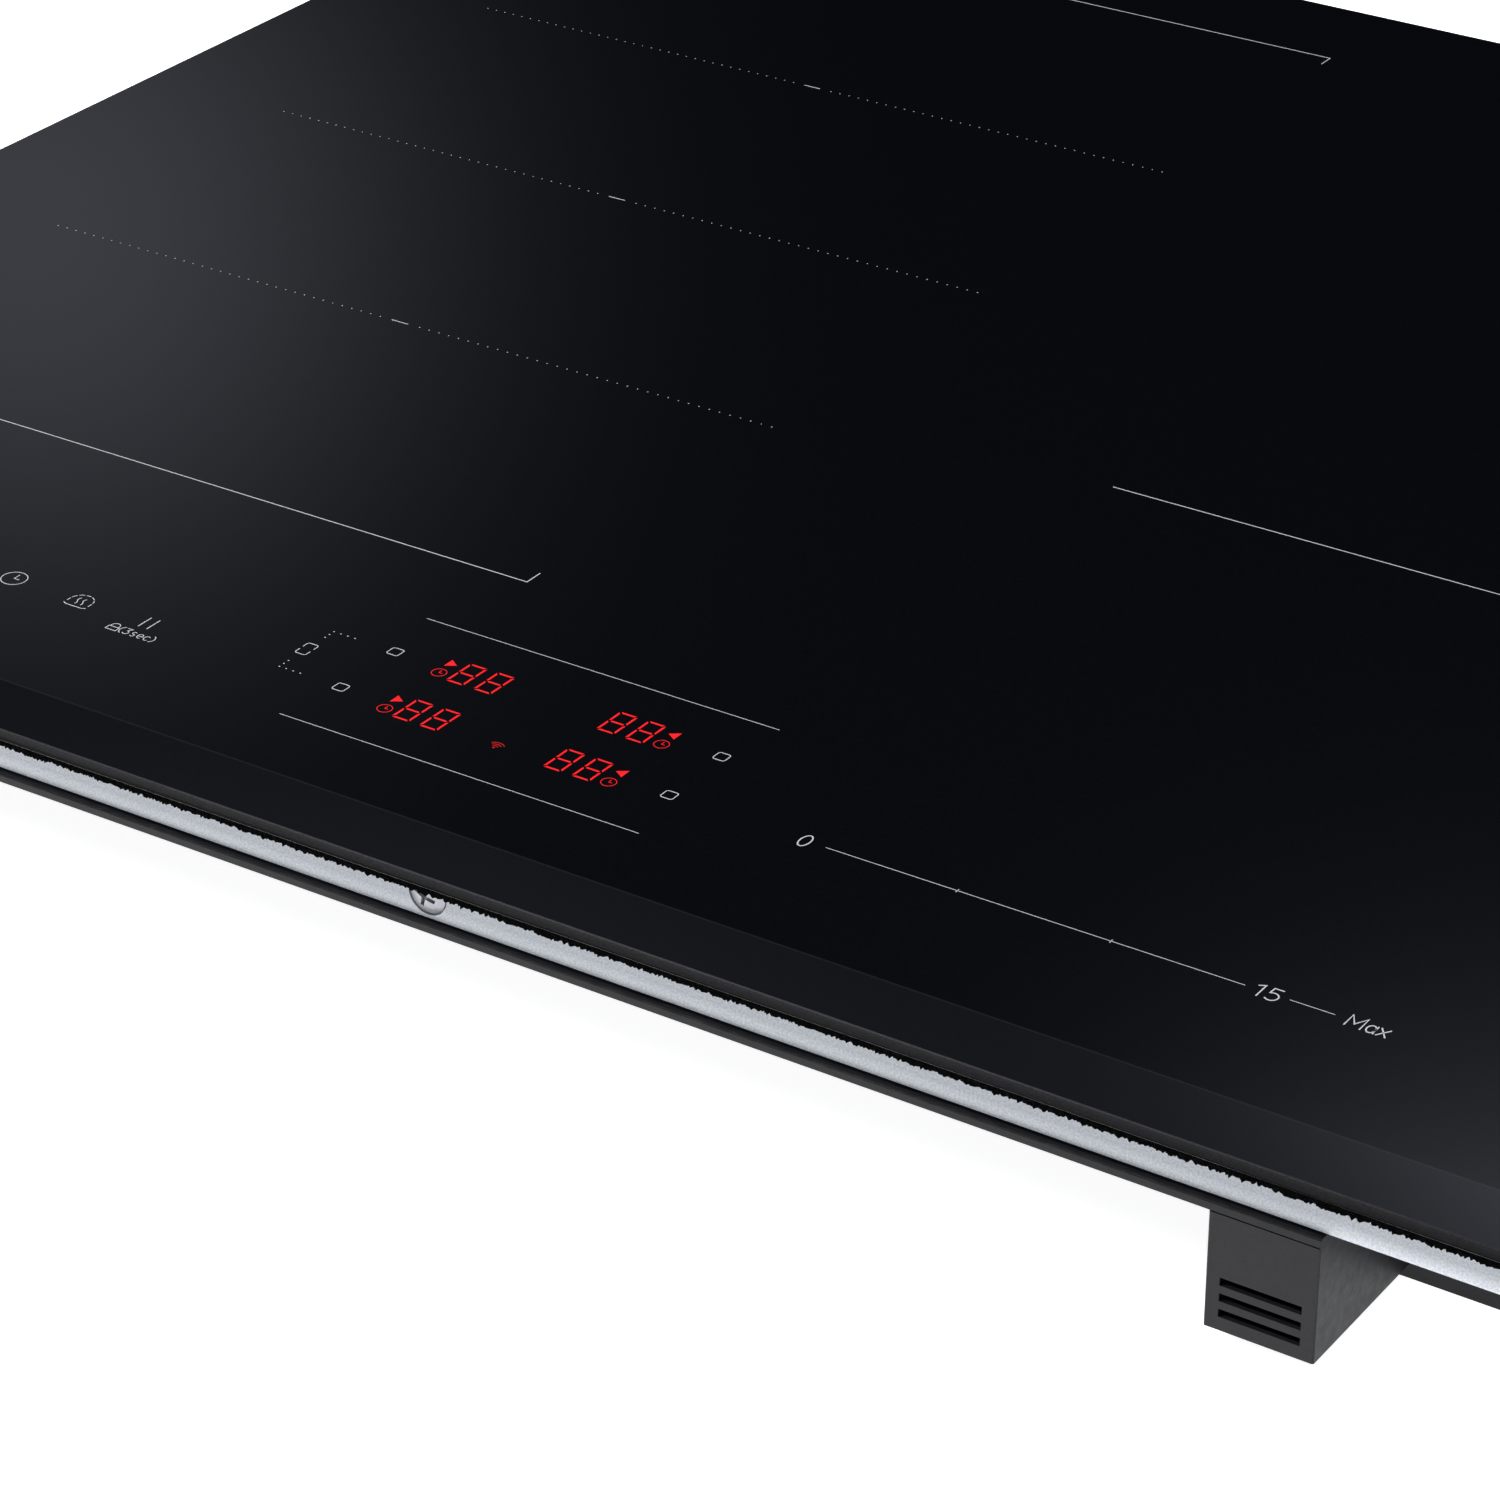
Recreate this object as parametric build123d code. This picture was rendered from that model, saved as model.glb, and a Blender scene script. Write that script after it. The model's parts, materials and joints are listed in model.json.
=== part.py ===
from build123d import *
import os
from math import asin, cos, degrees, radians, sin

# Built-in induction hob, millimetres. Origin: centre of the footprint, at the underside of
# the base tray. X runs to the user's right, Y to the back, Z up.

# Driving dimensions
HOB_W, HOB_D, HOB_H = 590.0, 520.0, 56.0
GLASS_T = 4.0
GLASS_CORNER = 9.0
BEVEL_RUN, BEVEL_DROP = 15.0, 1.2
ARRIS, FRONT_ARRIS, LOW_ARRIS = 0.5, 0.25, 0.2

FOAM_T, FOAM_W, FOAM_INSET = 2.8, 10.0, 2.0

FRAME_W, FRAME_D = 554.0, 484.0
FRAME_WALL = 1.0
FRAME_CORNER = 8.0
FRAME_BOTTOM = 32.05
FRAME_LIP = 1.2
TOP_FLANGE_W, FRONT_FLANGE_W = 18.0, 12.0
SIDE_LIP_W, FRONT_LIP_W = 16.0, 46.0
BEAD_T, BEAD_W = 1.0, 7.0

FLANGE_TOP, FLANGE_T = 31.7, 2.1
SHEET_EDGE = 0.3
TAB_HALF, TAB_FRONT = 208.5, -244.0
TRAY_X, TRAY_FRONT, TRAY_BACK = 262.0, -204.0, 230.0
TRAY_WALL = 1.0
TRAY_TOP = FLANGE_TOP - FLANGE_T

DUCT_IN = 185.3
DUCT_BOTTOM, DUCT_WALL = 4.0, 1.2

DIMPLE_R, DIMPLE_DEPTH, DIMPLE_X, DIMPLE_Z = 4.75, 1.2, 5.1, 37.5
SCREW_HEAD_R, SCREW_SHAFT_R = 4.35, 1.5
SCREW_PROUD, CROWN_R, RECESS_SPAN, RECESS_W = 1.2, 7.5, 5.0, 0.9

PLATE_T = 1.5
FORMER_LOW, FORMER_T = 40.0, 4.0
WINDING_T = 4.5
MICA_T, MICA_GAP = 0.8, 0.5

FLEX_X, FLEX_PITCH, FLEX_FIRST_Y = -142.5, 93.0, -101.7
FLEX_LENGTH, FLEX_WIDTH = 190.0, 85.0
ROUND_X = 142.5

FAN_X, FAN_Y, FAN_SIZE, FAN_LOW, FAN_T = 120.0, 150.0, 104.0, 1.2, 24.0
FAN_BORE_R, ROTOR_R, HUB_R, AXLE_R = 46.0, 43.0, 17.0, 1.5
RUNNING_GAP = 0.05
BLADES = 9

CLAMP_X, CLAMP_Y = 269.5, 150.0
BOLT_R, ARM_W, ARM_T, ARM_REACH, ARM_LOW = 2.5, 12.0, 3.0, 19.0, 10.0
ARM_BOSS_R, ARM_BOSS_H, ARM_LIP_H = 5.6, 8.0, 4.0

INLET_X, INLET_Z, INLET_R, INLET_OUT_R, INLET_LENGTH = 215.0, 15.0, 6.0, 9.5, 12.0

UI_FRONT, UI_BACK, UI_LEFT, UI_RIGHT = -228.0, -172.0, -150.0, 215.0
DISPLAY_X, DISPLAY_Y = 19.2, (-208.6, -189.8)
BOARD_T = 1.6

GLASS_LOW = HOB_H - GLASS_T
GLASS_FRONT = -HOB_D / 2
FRAME_TOP = GLASS_LOW - BEAD_T
PLATE_LOW = FRAME_BOTTOM + FRAME_LIP
PLATE_TOP = PLATE_LOW + PLATE_T
WINDING_LOW = FORMER_LOW + FORMER_T

LOW = (Align.CENTER, Align.CENTER, Align.MIN)
CORNER = (Align.MIN, Align.MIN, Align.MIN)
parts = {}


def span(x0, x1, y0, y1, z0, z1):
    """Box between two corners."""
    return Pos(x0, y0, z0) * Box(x1 - x0, y1 - y0, z1 - z0, align=CORNER)


def disc(x, y, z0, z1, radius):
    """Upright cylinder from z0 to z1."""
    return Pos(x, y, z0) * Cylinder(radius, z1 - z0, align=LOW)


def slab(width, depth, z0, z1, corner, y=0.0):
    """Upright plate with rounded plan corners, centred on X."""
    outline = Pos(0, y, z0) * RectangleRounded(width, depth, corner)
    return extrude(outline, z1 - z0)


def racetrack(x, y, z0, z1, length, width):
    """Upright plate with fully round ends along X."""
    return extrude(Pos(x, y, z0) * SlotOverall(length, width), z1 - z0)


def hole_along(axis, x, y, z, radius, length):
    """Cylinder along +X or +Y that starts at the point given."""
    turn = Rot(0, 90, 0) if axis == "x" else Rot(-90, 0, 0)
    return Pos(x, y, z) * turn * Cylinder(radius, length, align=LOW)


def glass_plate():
    """Ceramic glass: ground edge all round, wide polished bevel along the front."""
    plate = slab(HOB_W, HOB_D, GLASS_LOW, HOB_H, GLASS_CORNER)
    plate = chamfer(plate.faces().sort_by(Axis.Z)[-1].edges(), ARRIS)
    plate = chamfer(plate.faces().sort_by(Axis.Z)[0].edges(), LOW_ARRIS)
    over = 3.0
    start = GLASS_FRONT + BEVEL_RUN + 0.001
    knee = HOB_H - BEVEL_DROP * (BEVEL_RUN - FRONT_ARRIS) / BEVEL_RUN
    wedge = Polyline(
        (start, HOB_H),
        (GLASS_FRONT + FRONT_ARRIS, knee),
        (GLASS_FRONT - over, knee - FRONT_ARRIS - over),
        (GLASS_FRONT - over, HOB_H + 1),
        (start, HOB_H + 1),
        close=True,
    )
    side = Plane(origin=(-HOB_W / 2 - 1, 0, 0), x_dir=(0, 1, 0), z_dir=(1, 0, 0))
    return plate - extrude(side * make_face(wedge), HOB_W + 2)


def edge_foam():
    """Compressible seal under the rim of the glass, which sits on the worktop."""
    width, depth = HOB_W - 2 * FOAM_INSET, HOB_D - 2 * FOAM_INSET
    low = GLASS_LOW - FOAM_T
    outer = slab(width, depth, low, GLASS_LOW, GLASS_CORNER - FOAM_INSET)
    inner = slab(width - 2 * FOAM_W, depth - 2 * FOAM_W, low - 1, GLASS_LOW + 1, 3.0)
    return outer - inner


def glue_bead():
    """Silicone that bonds the frame's top flange to the glass."""
    outer = slab(FRAME_W - 4, FRAME_D - 4, FRAME_TOP, GLASS_LOW, FRAME_CORNER - 2)
    width, depth = FRAME_W - 4 - 2 * BEAD_W, FRAME_D - 4 - 2 * BEAD_W
    return outer - slab(width, depth, FRAME_TOP - 1, GLASS_LOW + 1, 2.0)


def dimple_places():
    """Screw name, wall direction and centre on the frame's outer face."""
    half_w, half_d = FRAME_W / 2, FRAME_D / 2
    return (
        ("front", "y", 1, (DIMPLE_X, -half_d, DIMPLE_Z)),
        ("rear", "y", -1, (-DIMPLE_X, half_d, DIMPLE_Z)),
        ("left", "x", 1, (-half_w, 20.0, DIMPLE_Z)),
        ("right", "x", -1, (half_w, 20.0, DIMPLE_Z)),
    )


def inward(axis, sign, point, start, length, radius):
    """Cylinder going inward from a frame wall, from start to start + length."""
    x, y, z = point
    begin = start if sign > 0 else -(start + length)
    if axis == "x":
        return hole_along("x", x + begin, y, z, radius, length)
    return hole_along("y", x, y + begin, z, radius, length)


def upper_frame():
    """Galvanised ring: wall, top flange for the glue, inward lip that carries the coil plate."""
    shell = slab(FRAME_W, FRAME_D, FRAME_BOTTOM, FRAME_TOP, FRAME_CORNER)
    inner_w, inner_d = FRAME_W - 2 * FRAME_WALL, FRAME_D - 2 * FRAME_WALL
    room = slab(inner_w, inner_d, PLATE_LOW, FRAME_TOP - FRAME_WALL, FRAME_CORNER - FRAME_WALL)
    half_w, half_d = FRAME_W / 2, FRAME_D / 2
    top = span(
        -half_w + TOP_FLANGE_W, half_w - TOP_FLANGE_W,
        -half_d + FRONT_FLANGE_W, half_d - TOP_FLANGE_W, FRAME_TOP - 2, FRAME_TOP + 1,
    )
    bottom = span(
        -half_w + SIDE_LIP_W, half_w - SIDE_LIP_W,
        -half_d + FRONT_LIP_W, half_d - SIDE_LIP_W, FRAME_BOTTOM - 1, PLATE_LOW + 1,
    )
    shell = shell - room - top - bottom
    for _, axis, sign, point in dimple_places():
        shell += inward(axis, sign, point, FRAME_WALL / 2, 1.8, DIMPLE_R + 0.5)
        shell -= inward(axis, sign, point, -1.0, DIMPLE_DEPTH + 1.0, DIMPLE_R)
        shell -= inward(axis, sign, point, -1.0, 6.0, SCREW_SHAFT_R + RUNNING_GAP)
    for sx, sy in corners():
        shell -= disc(sx * CLAMP_X, sy * CLAMP_Y, FRAME_BOTTOM - 1, PLATE_LOW + 1, BOLT_R + 0.1)
    return shell


def corners():
    return ((-1, -1), (1, -1), (-1, 1), (1, 1))


def crown_point(angle):
    """Point on the domed top of a screw head, in the plane of its axis, which is Y."""
    turn = radians(angle)
    return CROWN_R * sin(turn), CROWN_R * (1 - cos(turn)) - SCREW_PROUD


def frame_screw(axis, sign, point):
    """Truss-head screw with a cross recess, sitting in its dimple."""
    rim = degrees(asin(SCREW_HEAD_R / CROWN_R))
    tip = DIMPLE_DEPTH + 5.9
    crown = ThreePointArc(crown_point(0), crown_point(rim / 2), crown_point(rim))
    rest = Polyline(
        crown_point(rim),
        (SCREW_HEAD_R, DIMPLE_DEPTH),
        (SCREW_SHAFT_R, DIMPLE_DEPTH),
        (SCREW_SHAFT_R, tip),
        (0, tip),
        crown_point(0),
    )
    screw = revolve(make_face(crown + rest), Axis.Y)
    for turn in (20, 110):
        screw -= Pos(0, -SCREW_PROUD, 0) * Rot(0, turn, 0) * Box(RECESS_SPAN, 3.0, RECESS_W)
    facing = {("y", 1): 0, ("y", -1): 180, ("x", 1): -90, ("x", -1): 90}[axis, sign]
    return Pos(*point) * Rot(0, 0, facing) * screw


def base_flange():
    """Plate round the top of the base tray, with a tab that comes forward to the front wall."""
    z0, z1 = TRAY_TOP, FLANGE_TOP
    tab = span(-TAB_HALF, TAB_HALF, TAB_FRONT, TRAY_FRONT + 1, z0, z1)
    back = FRAME_D / 2 - 2
    ring = span(-FRAME_W / 2 + 1, FRAME_W / 2 - 1, TRAY_FRONT, back, z0, z1)
    hole = span(-TRAY_X + 4, TRAY_X - 4, TRAY_FRONT + 4, TRAY_BACK - 4, z0 - 1, z1 + 1)
    plate = tab + ring - hole
    lip = plate.edges().filter_by(Axis.X).group_by(Axis.Y)[0]
    plate = chamfer(lip, SHEET_EDGE)
    for sx, sy in corners():
        plate -= disc(sx * CLAMP_X, sy * CLAMP_Y, z0 - 1, z1 + 1, BOLT_R + 0.1)
    return plate


def intake_slots(x, y):
    """Rows of slots under one fan, shorter towards the rim of the fan."""
    slots = []
    for row in range(-5, 6):
        offset = row * 7.5
        length = 2 * (42.0 ** 2 - offset ** 2) ** 0.5 - 8
        if length > 10:
            slots.append(racetrack(x, y + offset, -1, TRAY_WALL + 1, length, 3.0))
    return slots


def rear_slots():
    """Upright outlet slots in the tray's back wall."""
    return [
        span(x - 1.5, x + 1.5, TRAY_BACK - 3, TRAY_BACK + 1, 8, 24)
        for x in [-220 + 9 * step for step in range(41)]
    ]


def base_tray():
    """Deep pressed tray that holds the electronics, with intake and outlet slots."""
    depth = TRAY_BACK - TRAY_FRONT
    middle = (TRAY_BACK + TRAY_FRONT) / 2
    tray = slab(2 * TRAY_X, depth, 0, TRAY_TOP, 7.0, middle)
    inner_w, inner_d = 2 * (TRAY_X - TRAY_WALL), depth - 2 * TRAY_WALL
    tray -= slab(inner_w, inner_d, TRAY_WALL, TRAY_TOP + 1, 6.0, middle)
    for side in (-1, 1):
        for slot in intake_slots(side * FAN_X, FAN_Y):
            tray -= slot
        window = sorted((side * (DUCT_IN + DUCT_WALL), side * (TAB_HALF - DUCT_WALL)))
        z0, z1 = DUCT_BOTTOM + DUCT_WALL, TRAY_TOP - DUCT_WALL
        tray -= span(*window, TRAY_FRONT - 1, TRAY_FRONT + 3, z0, z1)
    for slot in rear_slots():
        tray -= slot
    return tray - hole_along("y", INLET_X, TRAY_BACK - 3, INLET_Z, INLET_R + 1.5, 6)


def air_duct(side):
    """Outlet duct under the front flange, with louvre slots low on its front."""
    x0, x1 = sorted((side * DUCT_IN, side * TAB_HALF))
    z0, z1 = DUCT_BOTTOM, TRAY_TOP
    duct = span(x0, x1, TAB_FRONT, TRAY_FRONT, z0, z1)
    wall = DUCT_WALL
    duct -= span(x0 + wall, x1 - wall, TAB_FRONT + wall, TRAY_FRONT + 1, z0 + wall, z1 - wall)
    for level in (7.0, 10.5, 14.0):
        duct -= span(x0 + 3, x1 - 3, TAB_FRONT - 1, TAB_FRONT + 3, level, level + 1.8)
    posts = duct.edges().filter_by(Axis.Z).group_by(Axis.Y)[0]
    return chamfer(posts.filter_by(lambda edge: edge.length > 20), SHEET_EDGE)


def coil_plate():
    """Aluminium sheet that carries the coils and screens the electronics below."""
    plate = span(-272, 272, -236, 236, PLATE_LOW, PLATE_TOP)
    for x in (-250, 0, 250):
        plate -= racetrack(x, -140, PLATE_LOW - 1, PLATE_TOP + 1, 16, 10)
        plate -= racetrack(x, 120, PLATE_LOW - 1, PLATE_TOP + 1, 16, 10)
    for sx, sy in corners():
        plate -= disc(sx * CLAMP_X, sy * CLAMP_Y, PLATE_LOW - 1, PLATE_TOP + 1, 6.5)
    return plate


def flex_former(y):
    """Oval coil carrier on three posts, with a slotted deck."""
    deck = racetrack(FLEX_X, y, FORMER_LOW, WINDING_LOW, FLEX_LENGTH, FLEX_WIDTH)
    for step in (-2, -1, 1, 2):
        x = FLEX_X + 30 * step
        deck -= span(x - 2, x + 2, y - 30, y + 30, FORMER_LOW - 1, WINDING_LOW + 1)
    for dx in (-75, 0, 75):
        deck += disc(FLEX_X + dx, y, PLATE_TOP, FORMER_LOW + 1, 5)
    return deck - disc(FLEX_X, y, PLATE_TOP - 1, WINDING_LOW + 1, 3)


def flex_winding(y):
    """Flat oval winding: three bands of litz wire joined by a thin varnished base."""
    z0, z1 = WINDING_LOW, WINDING_LOW + WINDING_T
    coil = racetrack(FLEX_X, y, z0, z1, FLEX_LENGTH - 4, FLEX_WIDTH - 4)
    for inset in (9.0, 20.0):
        groove = racetrack(FLEX_X, y, z0 + 1, z1 + 1, FLEX_LENGTH - 2 * inset, FLEX_WIDTH - 2 * inset)
        small = FLEX_WIDTH - 2 * inset - 3
        groove -= racetrack(FLEX_X, y, z0, z1 + 2, FLEX_LENGTH - 2 * inset - 3, small)
        coil -= groove
    return coil - racetrack(FLEX_X, y, z0 - 1, z1 + 1, FLEX_LENGTH - 62, FLEX_WIDTH - 62)


def round_former(y, radius):
    """Round coil carrier on four posts, with wedge openings between its spokes."""
    deck = disc(ROUND_X, y, FORMER_LOW, WINDING_LOW, radius)
    for step in range(8):
        angle = radians(45 * step + 22.5)
        x = ROUND_X + 0.6 * radius * cos(angle)
        deck -= disc(x, y + 0.6 * radius * sin(angle), FORMER_LOW - 1, WINDING_LOW + 1, radius * 0.16)
    for step in range(4):
        angle = radians(90 * step)
        x = ROUND_X + 0.85 * radius * cos(angle)
        deck += disc(x, y + 0.85 * radius * sin(angle), PLATE_TOP, FORMER_LOW + 1, 5)
    return deck - disc(ROUND_X, y, PLATE_TOP - 1, WINDING_LOW + 1, 3)


def round_winding(y, radius):
    """Flat spiral winding drawn as concentric bands on a thin varnished base."""
    z0, z1 = WINDING_LOW, WINDING_LOW + WINDING_T
    coil = disc(ROUND_X, y, z0, z1, radius - 2)
    for inset in range(10, int(radius) - 28, 9):
        groove = disc(ROUND_X, y, z0 + 1, z1 + 1, radius - inset)
        coil -= groove - disc(ROUND_X, y, z0, z1 + 2, radius - inset - 1.5)
    return coil - disc(ROUND_X, y, z0 - 1, z1 + 1, 22)


def coil_sensor(x, y):
    """Spring-loaded temperature probe in the middle of a coil."""
    stem = disc(x, y, PLATE_TOP, GLASS_LOW - 1.5, 2.4)
    collar = disc(x, y, WINDING_LOW, WINDING_LOW + 3, 5.5)
    return stem + collar + disc(x, y, GLASS_LOW - 2, GLASS_LOW - 0.3, 4.5)


def mica_sheet(x0, x1, y0, y1, centres):
    """Insulating sheet over the coils, with a hole for each probe."""
    low = WINDING_LOW + WINDING_T + MICA_GAP
    sheet = span(x0, x1, y0, y1, low, low + MICA_T)
    for x, y in centres:
        sheet -= disc(x, y, low - 1, low + 2, 7)
    return sheet


def power_board(side):
    """Inverter board on four posts with its soldered devices."""
    x0, x1 = sorted((side * 30, side * 245))
    y0, y1, z0 = -180, 80, 7.0
    board = span(x0, x1, y0, y1, z0, z0 + BOARD_T)
    for x in (x0 + 8, x1 - 8):
        for y in (y0 + 8, y1 - 8):
            board += disc(x, y, TRAY_WALL, z0 + 0.5, 4)
    for row in range(6):
        y = y0 + 30 + 36 * row
        inner = side * 48
        board += Pos(inner, y, z0 + 1) * Box(18, 12, 7, align=LOW)
        board += Pos(inner + side * 24, y, z0 + 1) * Box(8, 16, 4, align=LOW)
    return board + capacitor(side) + choke(side)


def heatsink(side):
    """Extruded aluminium heat sink, fins along Y."""
    x0, x1 = sorted((side * 170, side * 235))
    low = 7.0 + BOARD_T
    sink = span(x0, x1, -160, 60, low, low + 18)
    pitch = 65.0 / 11
    for step in range(10):
        x = x0 + pitch * (step + 1)
        sink -= span(x - 1.9, x + 1.9, -161, 61, low + 4, low + 19)
    return sink


def capacitor(side):
    """Film capacitor block with a stepped case."""
    x, y, z = side * 122, -120, 7.0 + BOARD_T
    case = Pos(x, y, z) * Box(44, 24, 17, align=LOW)
    return fillet(case.edges().filter_by(Axis.Z), 3.0)


def choke(side):
    """Toroidal choke on a round foot."""
    z = 7.0 + BOARD_T
    ring = Pos(side * 122, -40, z + 8) * Torus(14, 6.5)
    return ring + disc(side * 122, -40, z, z + 3.5, 15)


def filter_board():
    """Mains filter board between the fans."""
    board = span(-55, 55, 100, 215, 7, 7 + BOARD_T)
    for x in (-47, 47):
        for y in (108, 207):
            board += disc(x, y, TRAY_WALL, 7.5, 4)
    board += Pos(-20, 130, 8) * Box(30, 26, 16, align=LOW)
    board += disc(25, 130, 8, 24, 13)
    return board + Pos(10, 180, 8) * Box(50, 22, 12, align=LOW)


def fan_housing(x, y):
    """Square fan frame with a round throat, four struts and the rotor's fixed spindle."""
    z0, z1 = FAN_LOW, FAN_LOW + FAN_T
    frame = extrude(Pos(x, y, z0) * RectangleRounded(FAN_SIZE, FAN_SIZE, 6), FAN_T)
    frame -= disc(x, y, z0 - 1, z1 + 1, FAN_BORE_R)
    for angle in (45, 135):
        bar = Pos(x, y, z0) * Rot(0, 0, angle) * Box(2 * FAN_BORE_R + 2, 4, 2, align=LOW)
        frame += bar
    frame += disc(x, y, z0, z0 + 2, HUB_R)
    for sx, sy in corners():
        frame -= disc(x + sx * 45, y + sy * 45, z0 - 1, z1 + 1, 2.2)
    return frame + fan_axle(x, y)


def fan_axle(x, y):
    """Fixed steel spindle with its bearing collar."""
    return disc(x, y, FAN_LOW, 22.0, AXLE_R) + disc(x, y, FAN_LOW + 2, FAN_LOW + 3, 4)


def fan_rotor(x, y):
    """Rotor: cup-shaped hub and raked blades."""
    z0, z1 = FAN_LOW + 3.4, FAN_LOW + FAN_T - 1.5
    rotor = disc(x, y, z0, z1, HUB_R)
    for blade in range(BLADES):
        place = Pos(x, y, (z0 + z1) / 2) * Rot(0, 0, blade * 360 / BLADES)
        leaf = Box(ROTOR_R - HUB_R + 2, 1.6, 18, align=(Align.MIN, Align.CENTER, Align.CENTER))
        rotor += place * Pos(HUB_R - 2, 0, 0) * Rot(32, 0, 0) * leaf
    rotor &= disc(x, y, z0, z1, ROTOR_R)
    return rotor - disc(x, y, z0 - 1, z1 + 1, AXLE_R + RUNNING_GAP)


def touch_carrier():
    """Plastic tray under the glass that holds the touch board, on feet."""
    z0, z1 = 43.0, 51.0
    tray = span(UI_LEFT, UI_RIGHT, UI_FRONT, UI_BACK, z0, z1)
    tray -= span(UI_LEFT + 1.5, UI_RIGHT - 1.5, UI_FRONT + 1.5, UI_BACK - 1.5, z0 + 1.5, z1 + 1)
    for x in (UI_LEFT + 12, 0, UI_RIGHT - 12):
        tray += disc(x, -200, PLATE_TOP, z0 + 1, 4)
    return tray


def touch_board():
    """Touch and display circuit board with a row of key springs."""
    z0 = 44.5
    board = span(UI_LEFT + 3, UI_RIGHT - 3, UI_FRONT + 3, UI_BACK - 3, z0, z0 + BOARD_T)
    for x in (-130.9, -112.1, -93.0):
        board += disc(x, -208.5, z0 + 1, GLASS_LOW - 0.6, 5)
    for step in range(9):
        board += disc(80 + 14 * step, -209, z0 + 1, GLASS_LOW - 0.6, 4)
    return board


def display_module(x, y):
    """Two-digit LED block with a window for each digit."""
    z0, z1 = 44.5 + BOARD_T, GLASS_LOW - 0.6
    block = Pos(x, y, z0) * Box(24, 13, z1 - z0, align=LOW)
    for dx in (-3.6, 3.6):
        block -= Pos(x + dx, y, z1 - 0.8) * Box(5, 9, 2, align=LOW)
    return block


def terminal_block():
    """Five-way mains terminal block."""
    block = span(185, 245, 176, 206, TRAY_WALL, 22)
    for step in range(5):
        x = 191 + 12 * step
        block -= disc(x, 191, 14, 23, 3)
        block -= span(x - 3.5, x + 3.5, 200, 207, 6, 14)
    return block


def terminal_cover():
    """Snap lid over the terminal block."""
    lid = span(182, 248, 173, 209, 23, 27)
    return lid - span(184, 246, 175, 207, 22, 25.5)


def cable_inlet():
    """Bushing in the tray's back wall for the mains lead."""
    y = TRAY_BACK - INLET_LENGTH / 2
    ring = hole_along("y", INLET_X, y, INLET_Z, INLET_R + 1.4, INLET_LENGTH)
    ring += hole_along("y", INLET_X, TRAY_BACK, INLET_Z, INLET_OUT_R, INLET_LENGTH / 2)
    ring += hole_along("y", INLET_X, y, INLET_Z, INLET_OUT_R, 3)
    return ring - hole_along("y", INLET_X, y - 1, INLET_Z, INLET_R, INLET_LENGTH + 2)


def clamp_bolt(x, y):
    """Vertical clamp bolt with a hex head below and its captive nut above the lip."""
    z0 = ARM_LOW - 0.3
    bolt = disc(x, y, z0 - 0.5, PLATE_LOW + 5, BOLT_R)
    bolt += extrude(Pos(x, y, z0 - 3.5) * RegularPolygon(4.6, 6), 3.5)
    return bolt + extrude(Pos(x, y, PLATE_LOW) * RegularPolygon(4.6, 6), 4)


def clamp_arm(x, y, toward):
    """Swivel arm, folded along the tray wall, with a raised gripping edge at its tip."""
    z0 = ARM_LOW
    tip = y + toward * (ARM_REACH + 5)
    y0, y1 = sorted((y, tip))
    arm = span(x - ARM_W / 2, x + ARM_W / 2, y0, y1, z0, z0 + ARM_T)
    arm += disc(x, y, z0, z0 + ARM_BOSS_H, ARM_BOSS_R)
    g0, g1 = sorted((tip, tip - toward * 5))
    arm += span(x - ARM_W / 2, x + ARM_W / 2, g0, g1, z0, z0 + ARM_T + ARM_LIP_H)
    return arm - disc(x, y, z0 - 1, z0 + ARM_BOSS_H + 1, BOLT_R + RUNNING_GAP)


def build():
    parts["glass_plate"] = glass_plate()
    parts["edge_foam"] = edge_foam()
    parts["glue_bead"] = glue_bead()
    parts["upper_frame"] = upper_frame()
    for name, axis, sign, point in dimple_places():
        parts["frame_screw_" + name] = frame_screw(axis, sign, point)
    parts["base_flange"] = base_flange()
    parts["base_tray"] = base_tray()
    parts["coil_plate"] = coil_plate()

    flex = [(FLEX_X, FLEX_FIRST_Y + FLEX_PITCH * step) for step in range(4)]
    for number, (x, y) in enumerate(flex, 1):
        parts[f"flex_former_{number}"] = flex_former(y)
        parts[f"flex_winding_{number}"] = flex_winding(y)
        parts[f"flex_sensor_{number}"] = coil_sensor(x, y)
    rounds = (("front", -97.0, 72.5), ("rear", 93.0, 105.0))
    for name, y, radius in rounds:
        parts["round_former_" + name] = round_former(y, radius)
        parts["round_winding_" + name] = round_winding(y, radius)
        parts["round_sensor_" + name] = coil_sensor(ROUND_X, y)
    parts["mica_sheet_left"] = mica_sheet(-245, -40, -152, 222, flex)
    round_centres = [(ROUND_X, y) for _, y, _ in rounds]
    parts["mica_sheet_right"] = mica_sheet(30, 255, -165, 205, round_centres)

    for name, side in (("left", -1), ("right", 1)):
        x = side * FAN_X
        parts["air_duct_" + name] = air_duct(side)
        parts["power_board_" + name] = power_board(side)
        parts["heatsink_" + name] = heatsink(side)
        parts["fan_housing_" + name] = fan_housing(x, FAN_Y)
        parts["fan_rotor_" + name] = fan_rotor(x, FAN_Y)
        for row, y in zip(("front", "rear"), DISPLAY_Y):
            parts[f"display_{name}_{row}"] = display_module(side * DISPLAY_X, y)
    parts["filter_board"] = filter_board()
    parts["touch_carrier"] = touch_carrier()
    parts["touch_board"] = touch_board()
    parts["terminal_block"] = terminal_block()
    parts["terminal_cover"] = terminal_cover()
    parts["cable_inlet"] = cable_inlet()

    for sx, sy in corners():
        name = ("front" if sy < 0 else "rear") + ("_left" if sx < 0 else "_right")
        parts["clamp_bolt_" + name] = clamp_bolt(sx * CLAMP_X, sy * CLAMP_Y)
        parts["clamp_arm_" + name] = clamp_arm(sx * CLAMP_X, sy * CLAMP_Y, -sy)


build()
os.makedirs("parts", exist_ok=True)
for node, shape in parts.items():
    export_step(shape, f"parts/{node}.step")
print(len(parts), "nodes")
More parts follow.
